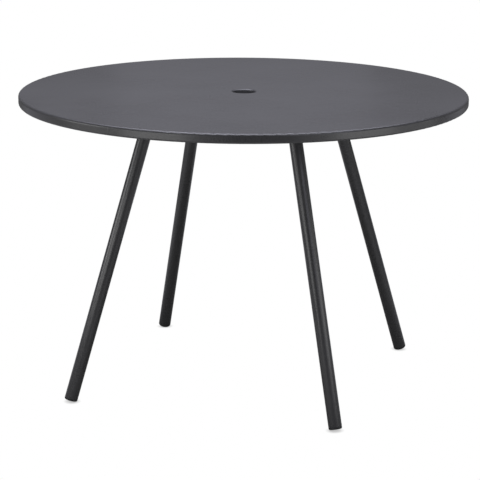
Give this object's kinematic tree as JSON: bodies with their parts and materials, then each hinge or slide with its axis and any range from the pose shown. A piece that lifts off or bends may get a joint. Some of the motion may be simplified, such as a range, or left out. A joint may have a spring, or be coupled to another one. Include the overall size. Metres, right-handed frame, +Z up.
{
  "type": "umbrella table",
  "caption": "Round metal garden table with a parasol hole in the middle and plain round legs that splay outwards to small plastic feet.",
  "frame": {"origin": "on the floor, below the middle of the parasol hole", "axes": "+Z up along the parasol hole's axis; X and Y pass midway between the legs, which stand on the diagonals"},
  "size_m": [1.0999, 1.1, 0.73],
  "materials": {
    "powder_coat": "satin",
    "foot_plastic": "matte",
    "zinc_steel": "satin"
  },
  "bodies": {
    "root": {"top_panel": "powder_coat", "hub_ring": "powder_coat", "rail_front_right": "powder_coat", "rail_back_right": "powder_coat", "rail_back_left": "powder_coat", "rail_front_left": "powder_coat", "rail_cap_front_right": "foot_plastic", "rail_cap_back_right": "foot_plastic", "rail_cap_back_left": "foot_plastic", "rail_cap_front_left": "foot_plastic", "nut_plate_front_right": "zinc_steel", "nut_plate_back_right": "zinc_steel", "nut_plate_back_left": "zinc_steel", "nut_plate_front_left": "zinc_steel", "leg_plate_front_right": "powder_coat", "leg_plate_back_right": "powder_coat", "leg_plate_back_left": "powder_coat", "leg_plate_front_left": "powder_coat", "leg_tube_front_right": "powder_coat", "leg_tube_back_right": "powder_coat", "leg_tube_back_left": "powder_coat", "leg_tube_front_left": "powder_coat", "foot_glide_front_right": "foot_plastic", "foot_glide_back_right": "foot_plastic", "foot_glide_back_left": "foot_plastic", "foot_glide_front_left": "foot_plastic", "leg_screws": "zinc_steel", "leg_washers": "zinc_steel"}
  },
  "joints": []
}
